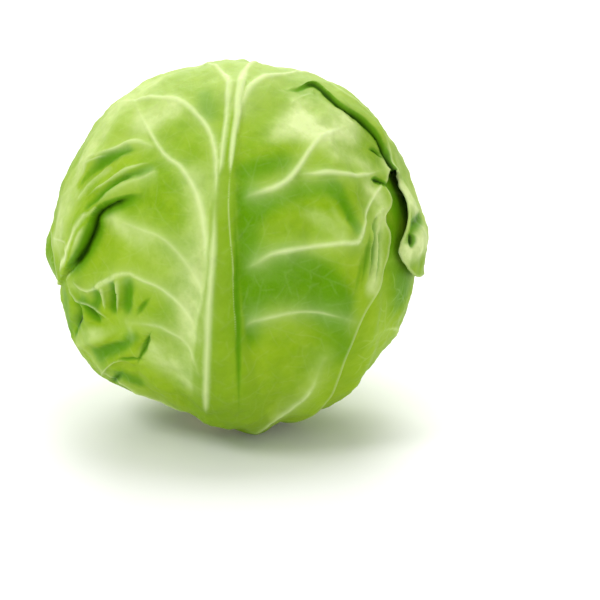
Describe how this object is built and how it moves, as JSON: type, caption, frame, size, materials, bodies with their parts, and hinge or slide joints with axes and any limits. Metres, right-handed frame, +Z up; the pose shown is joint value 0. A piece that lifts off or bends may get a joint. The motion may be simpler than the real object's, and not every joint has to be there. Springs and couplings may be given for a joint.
{
  "type": "green cabbage head",
  "caption": "Whole head of green cabbage standing on its cut stalk, with loose wrapper leaves folded round a dense heart.",
  "frame": {"origin": "under the middle of the head's box, on the surface that the cut stalk stands on", "axes": "+Z up; -Y towards the front, where the outermost leaf's midrib runs up; +X to the right as seen from the front"},
  "size_m": [0.1784, 0.1772, 0.174],
  "materials": {
    "leaf_green": "soft satin with a thin waxy bloom, paler ribs and veins",
    "inner_green": "soft satin, pale yellow-green",
    "stalk_cream": "matt cut face, cream with a browned rim"
  },
  "bodies": {
    "root": {"stalk": "stalk_cream", "heart": "inner_green", "leaf_inner": "inner_green", "leaf_crown": "leaf_green", "leaf_back": "leaf_green", "leaf_right": "leaf_green", "leaf_front": "leaf_green"}
  },
  "joints": []
}
